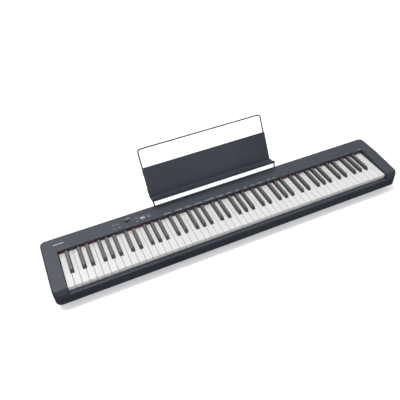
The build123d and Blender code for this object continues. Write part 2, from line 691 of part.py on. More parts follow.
def contact_rubbers():
    """Rubber strip with one dome under each key."""
    base = SHELF_TOP + BOARD_T
    strip = block(-WELL_HALF + 4, WELL_HALF - 4, PEG_Y - 5, PEG_Y + 5, base, base + 1)
    return strip + [Pos(x, PEG_Y, (base + 1 + DOME_TOP) / 2) * Cone(DOME_R, DOME_TIP_R, DOME_TOP - base - 1)
                    for x in key_middles()]


# ---------------------------------------------------------------- controls

def round_button(x):
    """Round button with a retaining flange under the panel."""
    top = CASE_TOP + BUTTON_PROUD
    cap = post(x, CONTROL_Y, BUTTON_R, BUTTON_BOTTOM, top)
    cap = fillet(cap.edges().group_by(Axis.Z)[-1], 0.5)
    under = CASE_TOP - WALL - STOP_GAP
    return cap + post(x, CONTROL_Y, BUTTON_R + 1, under - BUTTON_FLANGE, under)


def bar_button():
    """Long button with a retaining flange under the panel."""
    top = CASE_TOP + BUTTON_PROUD
    cap = block(SOUND_X - BAR_L / 2, SOUND_X + BAR_L / 2, CONTROL_Y - BAR_W / 2, CONTROL_Y + BAR_W / 2,
                BUTTON_BOTTOM, top)
    cap = fillet(cap.edges().filter_by(Axis.Z), 1.0)
    cap = fillet(cap.edges().group_by(Axis.Z)[-1], 0.5)
    under = CASE_TOP - WALL - STOP_GAP
    return cap + block(SOUND_X - BAR_L / 2 - 1, SOUND_X + BAR_L / 2 + 1, CONTROL_Y - BAR_W / 2 - 1,
                       CONTROL_Y + BAR_W / 2 + 1, under - BUTTON_FLANGE, under)


def volume_slider():
    """Slider cap on a stem through the slot."""
    stem = block(SLIDER_X - SLIDER_STEM / 2, SLIDER_X + SLIDER_STEM / 2, SLIDER_Y - SLIDER_STEM / 2,
                 SLIDER_Y + SLIDER_STEM / 2, PANEL_BOARD_TOP + 2.3, CASE_TOP + 1)
    cap = block(SLIDER_X - 4.5, SLIDER_X + 4.5, SLIDER_Y - 3.5, SLIDER_Y + 3.5, CASE_TOP + 0.3, CASE_TOP + 4)
    cap = fillet(cap.edges().filter_by(Axis.Z), 1.0)
    cap = fillet(cap.edges().group_by(Axis.Z)[-1], 0.8)
    groove = block(SLIDER_X - 0.4, SLIDER_X + 0.4, SLIDER_Y - 4, SLIDER_Y + 4, CASE_TOP + 3.5, CASE_TOP + 5)
    return stem + cap - groove


def panel_board():
    """Button board with its switches and the slider's track."""
    t = PANEL_BOARD_TOP
    board = block(POWER_X - 18, SOUND_X + 28, CONTROL_Y - 17, SLIDER_Y + 17, t - BOARD_T, t)
    switch = BUTTON_BOTTOM - BUTTON_TRAVEL - 0.2
    board += [block(x - 3, x + 3, CONTROL_Y - 3, CONTROL_Y + 3, t - 0.1, switch)
              for x in (POWER_X, FUNCTION_X, PIANO_X, SOUND_X)]
    reach = SLIDER_TRAVEL + 6
    board += block(SLIDER_X - reach, SLIDER_X + reach, SLIDER_Y - 3.5, SLIDER_Y + 3.5, t - 0.1, t + 2)
    return board


def power_light():
    """Clear light guide from the board to the panel's surface."""
    return post(LIGHT_X, SLIDER_Y, LIGHT_R, PANEL_BOARD_TOP, CASE_TOP + 0.2)


# ---------------------------------------------------------------- sockets and sound

def main_board():
    """Upright board on the chassis base that carries three of the sockets."""
    board = block(BOARD_LEFT, BOARD_RIGHT, MAIN_BOARD_Y, MAIN_BOARD_Y + BOARD_T, BASE_TOP, MAIN_BOARD_TOP)
    back = MAIN_BOARD_Y + BOARD_T
    return board + [block(BOARD_LEFT + x, BOARD_LEFT + x + w, back - 0.1, back + CHIP_T, CHIP_MIDDLE - h / 2,
                          CHIP_MIDDLE + h / 2) for x, w, h in CHIPS]


def dc_inlet():
    """Power inlet: box, round nose, blind socket and centre pin."""
    y0 = MAIN_BOARD_Y + BOARD_T
    body = block(DC_X - 5, DC_X + 5, y0, CASE_REAR - WALL, JACK_Z - SOCKET_BODY, JACK_Z + SOCKET_BODY)
    body += y_rod(DC_X, JACK_Z, DC_NOSE_R, y0 + 1, JACK_BACK)
    body -= y_rod(DC_X, JACK_Z, DC_BORE_R, JACK_BACK - PLUG_DEPTH, JACK_BACK + 1)
    return body + y_rod(DC_X, JACK_Z, PIN_R, JACK_BACK - PLUG_DEPTH - 1, JACK_BACK - 1)


def usb_port():
    """Square data port with its tongue."""
    y0 = MAIN_BOARD_Y + BOARD_T
    shell = block(USB_X - USB_W / 2, USB_X + USB_W / 2, y0, JACK_BACK, JACK_Z - USB_H / 2, JACK_Z + USB_H / 2)
    shell -= block(USB_X - USB_W / 2 + 1.6, USB_X + USB_W / 2 - 1.6, JACK_BACK - PLUG_DEPTH, JACK_BACK + 1,
                   JACK_Z - USB_H / 2 + 1.6, JACK_Z + USB_H / 2 - 1.6)
    return shell + block(USB_X - 2.8, USB_X + 2.8, JACK_BACK - PLUG_DEPTH - 1, JACK_BACK - 1.5, JACK_Z - 1.5,
                         JACK_Z + 1.5)


def phones_jack():
    """Small headphone jack with a round nose."""
    y0 = MAIN_BOARD_Y + BOARD_T
    body = block(PHONES_X - 6, PHONES_X + 6, y0, CASE_REAR - WALL, JACK_Z - SOCKET_BODY, JACK_Z + SOCKET_BODY)
    body += y_rod(PHONES_X, JACK_Z, PHONES_NOSE_R, y0 + 1, JACK_BACK)
    return body - y_rod(PHONES_X, JACK_Z, PHONES_BORE_R, JACK_BACK - PHONES_DEPTH, JACK_BACK + 1)


def pedal_jack():
    """Large pedal jack on the rear wall of the left end bay."""
    front = CASE_REAR - WALL - 30
    body = block(PEDAL_X - 8, PEDAL_X + 8, front, CASE_REAR - WALL, JACK_Z - 8, JACK_Z + 8)
    body += y_rod(PEDAL_X, JACK_Z, PEDAL_NOSE_R, CASE_REAR - WALL - 1, JACK_BACK)
    return body - y_rod(PEDAL_X, JACK_Z, PEDAL_BORE_R, JACK_BACK - PEDAL_DEPTH, JACK_BACK + 1)


def speaker(side):
    """Long oval speaker on the floor of one end bay: frame, cone and magnet."""
    x = side * (END_X - 2)
    at = Pos(x, SPEAKER_Y, TRAY_FLOOR)
    w = SPEAKER_W - 4
    frame = at * extrude(SlotOverall(SPEAKER_L, w, rotation=90), amount=3)
    frame -= at * extrude(SlotOverall(SPEAKER_L - 10, w - 10, rotation=90), amount=4)
    wide = Pos(x, SPEAKER_Y, TRAY_FLOOR + 1) * SlotOverall(SPEAKER_L - 8, w - 8, rotation=90)
    narrow = Pos(x, SPEAKER_Y, TRAY_FLOOR + 18) * SlotOverall(24, 20, rotation=90)
    cone = loft([wide, narrow])
    hollow = Pos(0, 0, -1.2) * cone
    basket = cone - hollow + Pos(x, SPEAKER_Y, TRAY_FLOOR + 24) * Cylinder(14, 13)
    return frame + basket


# ---------------------------------------------------------------- music rest

def rest_axes():
    """Unit vectors up the panel and out of its back, in Y and Z."""
    up = (math.sin(LEAN), math.cos(LEAN))
    back = (math.cos(LEAN), -math.sin(LEAN))
    return up, back


def rest_point(along, out):
    """A point of the leaning panel: along its slope and out of its front face's plane."""
    up, back = rest_axes()
    return (REST_FOOT_Y + along * up[0] + out * back[0], REST_FOOT_Z + along * up[1] + out * back[1])


def ledge_point(forward, above):
    """A point on the ledge, measured forward from the panel's foot and above its top."""
    a = math.atan2(LEDGE_RISE, LEDGE_DEPTH)
    return (REST_FOOT_Y - forward * math.cos(a) + above * math.sin(a),
            REST_FOOT_Z + forward * math.sin(a) + above * math.cos(a))


def rest_heel():
    """Outer corner where the panel's back meets the ledge's underside."""
    back_y, back_z = rest_point(0, REST_T)
    under_y, under_z = ledge_point(0, -REST_T)
    return meeting_point(back_y, back_z, under_y, under_z)


def meeting_point(back_y, back_z, under_y, under_z):
    """Where a line up the panel meets a line along the ledge."""
    up, _ = rest_axes()
    slope = -LEDGE_RISE / LEDGE_DEPTH
    t = (under_z + (back_y - under_y) * slope - back_z) / (up[1] - up[0] * slope)
    return (back_y + t * up[0], back_z + t * up[1])


def wire_clip(side, along):
    """Snap clip on the panel's back that holds the wire."""
    y, z = rest_point(along, WIRE_OFF)
    out = WIRE_R + 1.5
    at = Location((side * WIRE_X, y, z), (-REST_LEAN, 0, 0))
    width = REST_HALF - WIRE_X + WIRE_R + 1.5
    body = Pos(side * (REST_HALF - WIRE_X - width / 2), (out - WIRE_R - 0.5) / 2, 0) * Box(
        width, out + WIRE_R + 0.5, CLIP_L)
    return at * (body - Cylinder(WIRE_R + ROD_CLEAR, CLIP_L + 1))


def music_rest_panel():
    """Folded panel with a stepped ledge, a front lip and clips for the wire."""
    depth = math.hypot(LEDGE_DEPTH, LEDGE_RISE)
    t = REST_T
    outline = [rest_point(REST_PANEL, 0), rest_point(REST_PANEL, t), rest_heel(),
               ledge_point(depth, -t), ledge_point(depth, LEDGE_LIP), ledge_point(depth - t, LEDGE_LIP),
               ledge_point(depth - t, 0), ledge_point(LEDGE_STEP + 4, 0), ledge_point(LEDGE_STEP + 3, 2),
               ledge_point(LEDGE_STEP, 2), ledge_point(LEDGE_STEP - 1, 0), rest_point(0, 0)]
    panel = side_shape(outline, -REST_HALF, REST_HALF)
    heel = panel.edges().filter_by(Axis.X).sort_by_distance((0, *rest_heel()))[0]
    panel = fillet(heel, WIRE_BEND - WIRE_R - STOP_GAP)
    tips = panel.edges().filter_by(lambda e: abs(e.length - t) < 0.01).sort_by(Axis.Z)[-2:]
    panel = fillet(tips, REST_CORNER)
    lip = panel.edges().filter_by(lambda e: abs(e.length - t) < 0.01).sort_by(Axis.Y)[:2]
    panel = fillet(lip, REST_CORNER)
    rim = panel.edges().filter_by(Axis.X).filter_by(lambda e: e.center().Z > rest_point(REST_PANEL - 2, 0)[1])
    panel = fillet(rim, 0.8)
    clips = [wire_clip(side, along) for side in (-1, 1) for along in (CLIP_EDGE, REST_PANEL - CLIP_EDGE)]
    return panel + clips


def music_rest_wire():
    """One bent wire: two legs, a bend under the ledge, up the back and over the top."""
    under_y, under_z = ledge_point(0, -REST_T - WIRE_R - STOP_GAP)
    low = meeting_point(*rest_point(0, WIRE_OFF), under_y, under_z)
    leg_top = under_z + (under_y - LEG_Y) * LEDGE_RISE / LEDGE_DEPTH
    top = rest_point(REST_PANEL + WIRE_ABOVE, WIRE_OFF)
    half = [(WIRE_X, LEG_Y, SOCKET_BOTTOM + STOP_GAP), (WIRE_X, LEG_Y, leg_top), (WIRE_X, *low),
            (WIRE_X, *top)]
    route = half + [(-x, y, z) for x, y, z in reversed(half)]
    bends = [WIRE_BEND, WIRE_BEND, WIRE_LOOP_R, WIRE_LOOP_R, WIRE_BEND, WIRE_BEND]
    path = FilletPolyline(*route, radius=bends)
    start = Plane(origin=half[0], z_dir=(0, 0, 1))
    return sweep(start * Circle(WIRE_R), path=path)


# ---------------------------------------------------------------- small parts

def rubber_feet():
    """Round feet seated in the bottom case."""
    feet = [post(x, y, FOOT_R, FLOOR_Z, CASE_BOTTOM + FOOT_SEAT) for x, y in foot_places()]
    return [fillet(foot.edges().group_by(Axis.Z)[0], 1.5) for foot in feet]


def case_screws():
    """Pan-head screws through the bottom case."""
    screws = []
    for x, y in END_SCREWS + CHASSIS_SCREWS:
        shank = post(x, y, SCREW_R - 0.05, CASE_BOTTOM - 0.1, TRAY_FLOOR + SCREW_LEN - 1)
        head = post(x, y, SCREW_HEAD_R, CASE_BOTTOM - SCREW_HEAD, CASE_BOTTOM)
        head = fillet(head.edges().group_by(Axis.Z)[0], 0.6)
        slot = Pos(x, y, CASE_BOTTOM - SCREW_HEAD) * (Box(3, 0.7, 1.6) + Box(0.7, 3, 1.6))
        screws.append(shank + head - slot)
    return screws


def export_keys():
    """One octave of single keys and hammers; the rest in a bass and a treble group."""
    groups = {}
    body = black_body()
    for _, name, octave, left, tail_left, tail_right in white_key_places():
        middle = (tail_left + tail_right) / 2
        place(groups, name, octave, "white", white_key(left, tail_left, tail_right), hammer(middle))
    for name, octave, x in black_key_places():
        place(groups, name, octave, "black", black_key(body, x), hammer(x))
    for name, solids in groups.items():
        save(name, *solids)


def place(groups, name, octave, colour, key, its_hammer):
    """Put one key and its hammer into their nodes."""
    if octave == MIDDLE_OCTAVE:
        groups[f"key_{name}{octave}"] = [key]
        groups[f"hammer_{name}{octave}"] = [its_hammer]
        return
    side = "bass" if octave < MIDDLE_OCTAVE else "treble"
    groups.setdefault(f"{side}_{colour}_keys", []).append(key)
    groups.setdefault(f"{side}_{colour}_hammers", []).append(its_hammer)


def main():
    """Write every node."""
    os.makedirs("parts", exist_ok=True)
    export_keys()
    save("top_case", top_case())
    save("bottom_case", bottom_case())
    save("key_chassis", key_chassis())
    save("key_pivot_rod", pivot_rod(KEY_PIVOT_Y, KEY_PIVOT_Z))
    save("hammer_pivot_rod", pivot_rod(HAMMER_Y, HAMMER_Z))
    save("key_guides", *key_guides())
    save("stop_felts", *stop_felts())
    save("key_well_felt", key_well_felt())
    save("contact_board", contact_board())
    save("contact_rubbers", contact_rubbers())
    save("main_board", main_board())
    save("panel_board", panel_board())
    save("left_speaker", speaker(-1))
    save("right_speaker", speaker(1))
    save("dc_inlet", dc_inlet())
    save("usb_port", usb_port())
    save("phones_jack", phones_jack())
    save("pedal_jack", pedal_jack())
    save("power_button", round_button(POWER_X))
    save("function_button", round_button(FUNCTION_X))
    save("piano_button", round_button(PIANO_X))
    save("sound_button", bar_button())
    save("volume_slider", volume_slider())
    save("power_light", power_light())
    save("music_rest_panel", music_rest_panel())
    save("music_rest_wire", music_rest_wire())
    save("rubber_feet", *rubber_feet())
    save("case_screws", *case_screws())


if __name__ == "__main__":
    main()
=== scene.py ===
import json
import math

import bmesh
import bpy
from mathutils import Matrix, Vector


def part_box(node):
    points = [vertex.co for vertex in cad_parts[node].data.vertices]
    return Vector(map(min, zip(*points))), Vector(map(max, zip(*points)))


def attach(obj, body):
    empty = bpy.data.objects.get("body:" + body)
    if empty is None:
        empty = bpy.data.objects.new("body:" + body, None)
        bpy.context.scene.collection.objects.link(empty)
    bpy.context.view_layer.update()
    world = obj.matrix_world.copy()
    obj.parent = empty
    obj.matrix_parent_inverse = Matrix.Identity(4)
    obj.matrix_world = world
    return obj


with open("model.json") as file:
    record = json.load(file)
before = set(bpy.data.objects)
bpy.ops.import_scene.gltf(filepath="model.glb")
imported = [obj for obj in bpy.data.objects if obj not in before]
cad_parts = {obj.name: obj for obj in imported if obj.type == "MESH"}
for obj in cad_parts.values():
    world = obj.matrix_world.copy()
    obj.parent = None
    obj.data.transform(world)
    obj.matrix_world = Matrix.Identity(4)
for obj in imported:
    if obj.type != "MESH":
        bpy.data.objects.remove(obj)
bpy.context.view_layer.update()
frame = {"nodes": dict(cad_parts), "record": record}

# ---- places on the case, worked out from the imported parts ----
MM = 0.001
CASE_LOW, CASE_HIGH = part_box("top_case")
PANEL_TOP = CASE_HIGH.z
WELL_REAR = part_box("key_well_felt")[1].y
WHITE_KEYS = 52
KEY_GAP = 1.0 * MM
KEYBOARD_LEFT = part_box("bass_white_keys")[0].x - KEY_GAP / 2
PITCH = -2 * KEYBOARD_LEFT / WHITE_KEYS


# ---- material helpers ----
class Surface:
    """A material's node tree, with short calls for the nodes that the surfaces here share."""

    def __init__(self, name):
        self.material = bpy.data.materials.new(name)
        self.material.use_nodes = True
        self.tree = self.material.node_tree
        self.bsdf = self.tree.nodes["Principled BSDF"]
        self.place = self.tree.nodes.new("ShaderNodeTexCoord").outputs["Object"]

    def node(self, kind, **settings):
        made = self.tree.nodes.new(kind)
        for key, value in settings.items():
            setattr(made, key, value)
        return made

    def link(self, source, target):
        self.tree.links.new(source, target)

    def scaled(self, stretch):
        mapping = self.node("ShaderNodeMapping")
        mapping.inputs["Scale"].default_value = stretch
        self.link(self.place, mapping.inputs["Vector"])
        return mapping.outputs["Vector"]

    def noise(self, scale, detail=3.0, roughness=0.55, stretch=(1, 1, 1)):
        made = self.node("ShaderNodeTexNoise")
        made.inputs["Scale"].default_value = scale
        made.inputs["Detail"].default_value = detail
        made.inputs["Roughness"].default_value = roughness
        self.link(self.scaled(stretch), made.inputs["Vector"])
        return made.outputs["Fac"]

    def cells(self, scale, stretch=(1, 1, 1)):
        made = self.node("ShaderNodeTexVoronoi")
        made.inputs["Scale"].default_value = scale
        self.link(self.scaled(stretch), made.inputs["Vector"])
        return made.outputs["Distance"]

    def ramp(self, value, stops):
        made = self.node("ShaderNodeValToRGB")
        elements = made.color_ramp.elements
        while len(elements) < len(stops):
            elements.new(0.5)
        for element, (position, colour) in zip(elements, stops):
            element.position = position
            element.color = (*colour, 1)
        self.link(value, made.inputs["Fac"])
        return made.outputs["Color"]

    def span(self, value, low, high, source=(0.3, 0.7)):
        made = self.node("ShaderNodeMapRange")
        for socket, number in zip(("From Min", "From Max", "To Min", "To Max"), (*source, low, high)):
            made.inputs[socket].default_value = number
        self.link(value, made.inputs["Value"])
        return made.outputs["Result"]

    def maths(self, operation, first, second=None):
        made = self.node("ShaderNodeMath", operation=operation)
        for socket, value in zip(made.inputs, (first, second)):
            if isinstance(value, (int, float)):
                socket.default_value = value
            elif value is not None:
                self.link(value, socket)
        return made.outputs["Value"]

    def mix(self, share, first, second, blend="MIX"):
        made = self.node("ShaderNodeMix", data_type="RGBA", blend_type=blend)
        for socket, value in ((made.inputs[0], share), (made.inputs[6], first), (made.inputs[7], second)):
            if isinstance(value, (int, float)):
                socket.default_value = value
            elif isinstance(value, tuple):
                socket.default_value = (*value, 1)
            else:
                self.link(value, socket)
        return made.outputs[2]

    def edges(self, radius, source=(0.02, 0.25)):
        """1 along the sharp and rounded edges of the shape, 0 on its faces."""
        bevel = self.node("ShaderNodeBevel", samples=6)
        bevel.inputs["Radius"].default_value = radius
        geometry = self.node("ShaderNodeNewGeometry")
        dot = self.node("ShaderNodeVectorMath", operation="DOT_PRODUCT")
        self.link(bevel.outputs["Normal"], dot.inputs[0])
        self.link(geometry.outputs["Normal"], dot.inputs[1])
        bend = self.maths("SUBTRACT", 1.0, dot.outputs["Value"])
        return self.span(bend, 0.0, 1.0, source)

    def bump(self, layers):
        """Stacks (height, strength, depth in metres) layers into one normal."""
        normal = None
        for height, strength, depth in layers:
            made = self.node("ShaderNodeBump")
            made.inputs["Strength"].default_value = strength
            made.inputs["Distance"].default_value = depth
            self.link(height, made.inputs["Height"])
            if normal is not None:
                self.link(normal, made.inputs["Normal"])
            normal = made.outputs["Normal"]
        self.link(normal, self.bsdf.inputs["Normal"])

    def finish(self, colour, roughness, **fixed):
        self.link(colour, self.bsdf.inputs["Base Color"])
        self.link(roughness, self.bsdf.inputs["Roughness"])
        for key, value in fixed.items():
            self.bsdf.inputs[key.replace("_", " ")].default_value = value
        return self.material


def moulded(name, dark, light, rough=(0.42, 0.55), grain=2600.0, depth=0.05, painted_highlight_share=0.25, painted_highlight_colour=None,
            specular=0.4):
    """Spark-eroded ABS: fine even grain, slow tone drift, and a painted highlight that makes the edges a
    little brighter.
    """
    s = Surface(name)
    drift = s.noise(5.0, 2.0)
    fine = s.noise(grain, 2.0, 0.6)
    colour = s.ramp(drift, ((0.3, dark), (0.7, light)))
    speckled = s.mix(s.span(fine, 0.0, 0.35), colour, tuple(1.5 * c for c in light))
    # painted highlight: the edges found by the bevel normal are mixed toward a lighter colour
    highlight_tint = painted_highlight_colour or tuple(2.4 * c for c in light)
    highlit_edges = s.mix(s.maths("MULTIPLY", s.edges(0.9 * MM), painted_highlight_share), speckled, highlight_tint)
    roughness = s.maths("ADD", s.span(drift, *rough), s.span(fine, -0.03, 0.03))
    s.bump(((fine, 0.35, depth * MM), (s.noise(90.0, 2.0), 0.08, 0.2 * MM)))
    return s.finish(highlit_edges, roughness, Specular_IOR_Level=specular)


def key_tones(s, spread):
    """A small tone step from one key to the next."""
    parts = s.node("ShaderNodeSeparateXYZ")
    s.link(s.place, parts.inputs[0])
    along = s.maths("SUBTRACT", parts.outputs["X"], KEYBOARD_LEFT)
    number = s.maths("FLOOR", s.maths("DIVIDE", along, PITCH))
    step = s.node("ShaderNodeTexWhiteNoise", noise_dimensions="1D")
    s.link(number, step.inputs["W"])
    return s.span(step.outputs["Value"], 1.0 - spread, 1.0, (0.0, 1.0))


def white_key_plastic():
    s = Surface("white_key_plastic")
    streak = s.noise(900.0, 3.0, 0.6, (1.0, 0.05, 0.3))
    cloud = s.noise(30.0, 2.0)
    colour = s.ramp(streak, ((0.25, (0.505, 0.499, 0.482)), (0.75, (0.555, 0.549, 0.534))))
    toned = s.mix(1.0, colour, key_tones(s, 0.035), "MULTIPLY")
    # painted highlight: the key edges are mixed toward a lighter white
    key_highlit_edges = s.mix(s.maths("MULTIPLY", s.edges(0.7 * MM), 0.3), toned, (0.74, 0.73, 0.71))
    roughness = s.span(cloud, 0.30, 0.42)
    s.bump(((streak, 0.12, 0.03 * MM),))
    return s.finish(key_highlit_edges, roughness, Specular_IOR_Level=0.45, Subsurface_Weight=0.05, Subsurface_Scale=0.002)


def black_key_plastic():
    s = Surface("black_key_plastic")
    grain = s.noise(1100.0, 4.0, 0.65, (1.0, 0.035, 0.4))
    pores = s.noise(2600.0, 2.0, 0.5, (1.0, 0.12, 1.0))
    colour = s.ramp(grain, ((0.3, (0.004, 0.004, 0.004)), (0.72, (0.012, 0.012, 0.012))))
    toned = s.mix(1.0, colour, key_tones(s, 0.12), "MULTIPLY")
    # painted highlight: the key edges are mixed toward a much lighter grey
    key_highlit_edges = s.mix(s.maths("MULTIPLY", s.edges(1.0 * MM), 0.35), toned, (0.10, 0.10, 0.10))
    roughness = s.span(pores, 0.40, 0.56)
    s.bump(((grain, 0.4, 0.05 * MM), (pores, 0.25, 0.03 * MM)))
    return s.finish(key_highlit_edges, roughness, Specular_IOR_Level=0.85)


def felt(name, deep, pale, fibre=2200.0):
    """Pressed wool: clumped fibres, soft sheen, no gloss."""
    s = Surface(name)
    fibres = s.noise(fibre, 5.0, 0.75)
    clumps = s.noise(260.0, 3.0, 0.7)
    colour = s.mix(s.span(clumps, 0.0, 0.45), s.ramp(fibres, ((0.3, deep), (0.7, pale))), deep)
    s.bump(((fibres, 0.8, 0.25 * MM), (clumps, 0.5, 0.4 * MM)))
    return s.finish(colour, s.span(fibres, 0.85, 1.0), Sheen_Weight=0.4, Sheen_Roughness=0.5,
                    Specular_IOR_Level=0.1)


def metal(name, dark, light, rough=(0.22, 0.38), stretch=(0.04, 1, 1)):
    """Drawn or rolled steel: fine draw lines along one axis and faint smudges."""
    s = Surface(name)
    lines = s.noise(1600.0, 3.0, 0.6, stretch)
    smudge = s.noise(40.0, 3.0)
    colour = s.ramp(lines, ((0.3, dark), (0.7, light)))
    roughness = s.maths("ADD", s.span(smudge, *rough), s.span(lines, -0.04, 0.04))
    s.bump(((lines, 0.25, 0.02 * MM),))
    return s.finish(colour, roughness, Metallic=1.0)


def painted_wire():
    """Satin black powder coat with a light orange peel."""
    s = Surface("rest_wire")
    peel = s.noise(700.0, 2.0, 0.5)
    speck = s.noise(3000.0, 2.0, 0.6)
    colour = s.ramp(peel, ((0.3, (0.006, 0.006, 0.007)), (0.7, (0.011, 0.011, 0.013))))
    # painted highlight: the wire's edges are mixed toward a lighter grey
    highlit_edges = s.mix(s.maths("MULTIPLY", s.edges(0.5 * MM), 0.2), colour, (0.10, 0.10, 0.11))
    s.bump(((peel, 0.3, 0.06 * MM), (speck, 0.2, 0.02 * MM)))
    return s.finish(highlit_edges, s.span(peel, 0.34, 0.46), Specular_IOR_Level=0.3)


def circuit_board():
    """Green solder mask with copper tracks showing through as paler lines, and tinned pads."""
    s = Surface("circuit_board")
    weave = s.noise(1400.0, 2.0, 0.5)
    track = s.node("ShaderNodeTexBrick", offset=0.37, squash=0.6)
    track.inputs["Scale"].default_value = 90.0
    track.inputs["Mortar Size"].default_value = 0.035
    track.inputs["Color1"].default_value = (0.006, 0.075, 0.030, 1)
    track.inputs["Color2"].default_value = (0.008, 0.095, 0.038, 1)
    track.inputs["Mortar"].default_value = (0.020, 0.170, 0.065, 1)
    s.link(s.place, track.inputs["Vector"])
    pads = s.span(s.cells(380.0), 1.0, 0.0, (0.10, 0.14))
    colour = s.mix(pads, track.outputs["Color"], (0.55, 0.54, 0.50))
    s.bump(((weave, 0.2, 0.03 * MM), (track.outputs["Fac"], 0.3, 0.03 * MM)))
    return s.finish(colour, s.span(weave, 0.28, 0.42), Specular_IOR_Level=0.5)


def rubber(name, dark, light, rough=(0.65, 0.85)):
    """Moulded rubber: dull, with a dusty bloom in the hollows."""
    s = Surface(name)
    bloom = s.noise(120.0, 4.0, 0.7)
    skin = s.noise(1800.0, 2.0, 0.6)
    colour = s.ramp(bloom, ((0.35, dark), (0.7, light)))
    s.bump(((skin, 0.4, 0.06 * MM), (bloom, 0.15, 0.2 * MM)))
    return s.finish(colour, s.span(bloom, *rough), Specular_IOR_Level=0.3)


def speaker_black():
    """Pulp cone and pressed basket: matt black with fibrous paper and faint concentric ripples."""
    s = Surface("speaker_black")
    pulp = s.noise(800.0, 5.0, 0.7)
    ripple = s.node("ShaderNodeTexWave", wave_type="RINGS", rings_direction="Z")
    ripple.inputs["Scale"].default_value = 120.0
    ripple.inputs["Distortion"].default_value = 0.6
    s.link(s.place, ripple.inputs["Vector"])
    colour = s.ramp(pulp, ((0.3, (0.012, 0.012, 0.012)), (0.7, (0.035, 0.034, 0.033))))
    s.bump(((pulp, 0.5, 0.1 * MM), (ripple.outputs["Fac"], 0.2, 0.1 * MM)))
    return s.finish(colour, s.span(pulp, 0.6, 0.85), Specular_IOR_Level=0.3)


def light_guide():
    """Clear green lens of the power light, lit from behind."""
    s = Surface("light_guide")
    haze = s.noise(900.0, 2.0)
    colour = s.ramp(haze, ((0.3, (0.30, 0.62, 0.38)), (0.7, (0.45, 0.80, 0.52))))
    s.link(colour, s.bsdf.inputs["Emission Color"])
    s.bump(((haze, 0.1, 0.05 * MM),))
    return s.finish(colour, s.span(haze, 0.12, 0.25), Emission_Strength=0.12, Coat_Weight=0.4)


def print_ink(name, dark, light):
    """Screen-printed ink: slightly uneven cover with tiny pinholes."""
    s = Surface(name)
    cover = s.noise(2400.0, 3.0, 0.7)
    colour = s.ramp(cover, ((0.3, dark), (0.65, light)))
    s.bump(((cover, 0.2, 0.01 * MM),))
    return s.finish(colour, s.span(cover, 0.45, 0.6), Specular_IOR_Level=0.35)


def make_materials():
    return {
        "white_key_plastic": white_key_plastic(),
        "black_key_plastic": black_key_plastic(),
        "hammer_steel": metal("hammer_steel", (0.20, 0.20, 0.21), (0.34, 0.34, 0.35), (0.35, 0.5)),
        "case_plastic": moulded("case_plastic", (0.012, 0.014, 0.021), (0.017, 0.020, 0.029),
                                specular=0.36),
        "chassis_plastic": moulded("chassis_plastic", (0.020, 0.020, 0.021), (0.032, 0.032, 0.033),
                                   (0.5, 0.65)),
        "rod_steel": metal("rod_steel", (0.42, 0.43, 0.45), (0.62, 0.63, 0.65)),
        "guide_plastic": moulded("guide_plastic", (0.35, 0.34, 0.31), (0.46, 0.45, 0.42), (0.4, 0.5)),
        "stop_felt": felt("stop_felt", (0.18, 0.18, 0.17), (0.34, 0.33, 0.31)),
        "red_felt": felt("red_felt", (0.045, 0.006, 0.007), (0.12, 0.016, 0.017)),
        "circuit_board": circuit_board(),
        "contact_rubber": rubber("contact_rubber", (0.16, 0.16, 0.17), (0.24, 0.24, 0.25)),
        "speaker_black": speaker_black(),
        "socket_plastic": moulded("socket_plastic", (0.010, 0.010, 0.011), (0.017, 0.017, 0.018),
                                  (0.35, 0.45)),
        "port_metal": metal("port_metal", (0.50, 0.50, 0.51), (0.70, 0.70, 0.71), (0.2, 0.35),
                            (1, 0.05, 1)),
        "button_plastic": moulded("button_plastic", (0.022, 0.024, 0.030), (0.030, 0.033, 0.041),
                                  (0.34, 0.46)),
        # painted highlight: edges mixed a little toward a lighter grey
        "bar_button_plastic": moulded("bar_button_plastic", (0.30, 0.30, 0.31), (0.37, 0.37, 0.38),
                                      (0.38, 0.48), painted_highlight_share=0.1, painted_highlight_colour=(0.5, 0.5, 0.5)),
        "slider_plastic": moulded("slider_plastic", (0.008, 0.008, 0.010), (0.014, 0.014, 0.016),
                                  (0.32, 0.44)),
        "light_guide": light_guide(),
        # painted highlight: strongly lighter edges, giving bright stripes along the ledge
        "rest_plastic": moulded("rest_plastic", (0.017, 0.020, 0.028), (0.024, 0.028, 0.038),
                                (0.40, 0.52), painted_highlight_share=0.6, painted_highlight_colour=(0.13, 0.14, 0.155), specular=0.38),
        "rest_wire": painted_wire(),
        "foot_rubber": rubber("foot_rubber", (0.012, 0.012, 0.012), (0.030, 0.030, 0.029)),
        "screw_steel": metal("screw_steel", (0.16, 0.16, 0.17), (0.30, 0.30, 0.31), (0.3, 0.45),
                             (1, 1, 0.05)),
        "print_grey": print_ink("print_grey", (0.42, 0.43, 0.46), (0.58, 0.60, 0.63)),
        "print_white": print_ink("print_white", (0.55, 0.56, 0.58), (0.72, 0.73, 0.75)),
        "print_green": print_ink("print_green", (0.17, 0.22, 0.19), (0.27, 0.34, 0.30)),
    }


def dress_cad_parts(materials):
    slots = {part["node"]: part["material_slot"] for part in frame["record"]["subparts"]}
    for name, part in frame["nodes"].items():
        part.data.materials.clear()
        part.data.materials.append(materials[slots[name]])


# ---- printed marks on the rear panel ----
INK = 0.06 * MM              # ink film, standing on the panel
CAPTION_FRONT = WELL_REAR + 2.6 * MM
CAPTION_LINE = 2.6 * MM      # between the two lines of a caption
# left end and length of each caption above the keys, in mm
CAPTIONS = ((-233, 30), (-188, 28), (-150, 26), (-116, 34), (-74, 40), (-26, 30), (14, 22), (48, 18),
            (84, 14), (111, 22), (142, 26), (183, 16), (210, 12), (597, 19))


